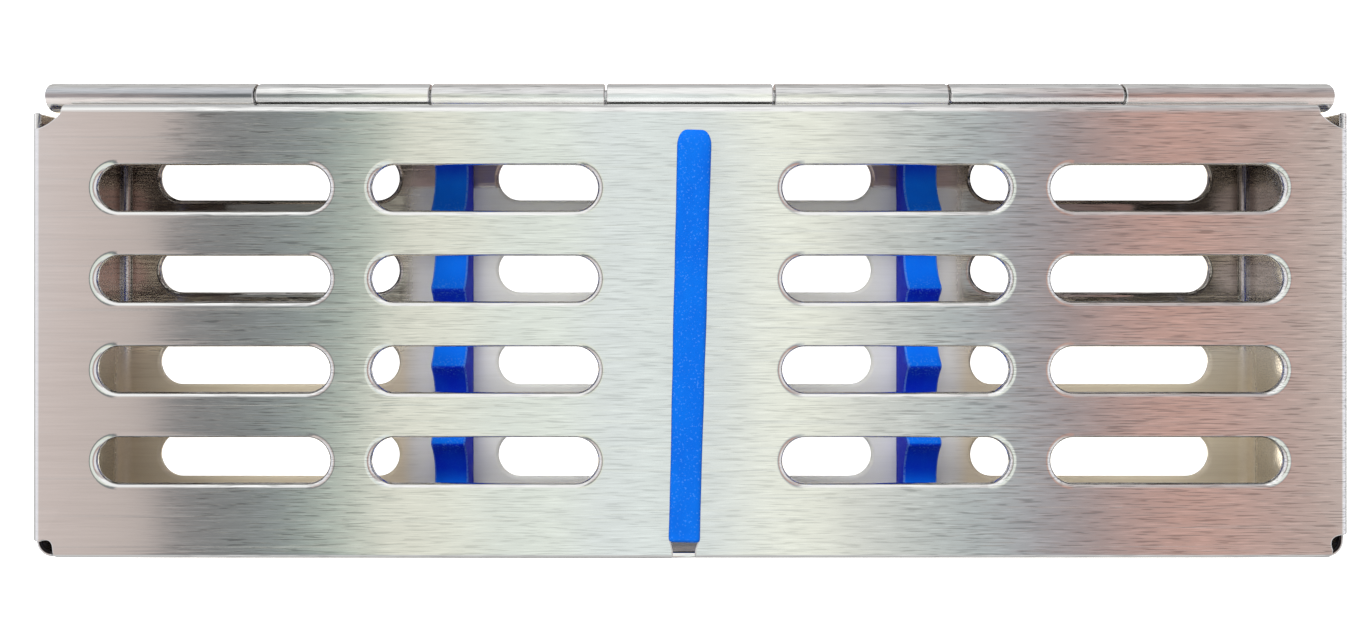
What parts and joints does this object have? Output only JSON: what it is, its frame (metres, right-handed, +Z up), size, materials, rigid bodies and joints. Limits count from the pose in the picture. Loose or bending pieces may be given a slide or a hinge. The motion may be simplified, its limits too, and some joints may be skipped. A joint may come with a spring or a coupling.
{
  "type": "instrument tray",
  "caption": "Hinged perforated steel sterilising tray with silicone combs that hold hand instruments and a silicone strip in the lid.",
  "frame": {"origin": "middle of the footprint, at the level the tray stands on", "axes": "+X along the hinge to the right end, +Y towards the hinge side, +Z up"},
  "size_m": [0.18, 0.0654, 0.022],
  "materials": {
    "lid_steel": "brushed along the length",
    "base_steel": "brushed along the length",
    "pin_steel": "drawn wire",
    "silicone": "satin moulded silicone"
  },
  "bodies": {
    "base": {"base_tray": "base_steel", "hinge_pin": "pin_steel", "left_comb": "silicone", "right_comb": "silicone"},
    "lid": {"lid_cover": "lid_steel", "lid_strip": "silicone"}
  },
  "joints": [
    {"name": "lid_hinge", "type": "hinge", "parent": "base", "child": "lid", "pos_m": [0, 0.03075, 0.0175], "axis": [-1, 0, 0], "range_deg": [0, 180]}
  ]
}
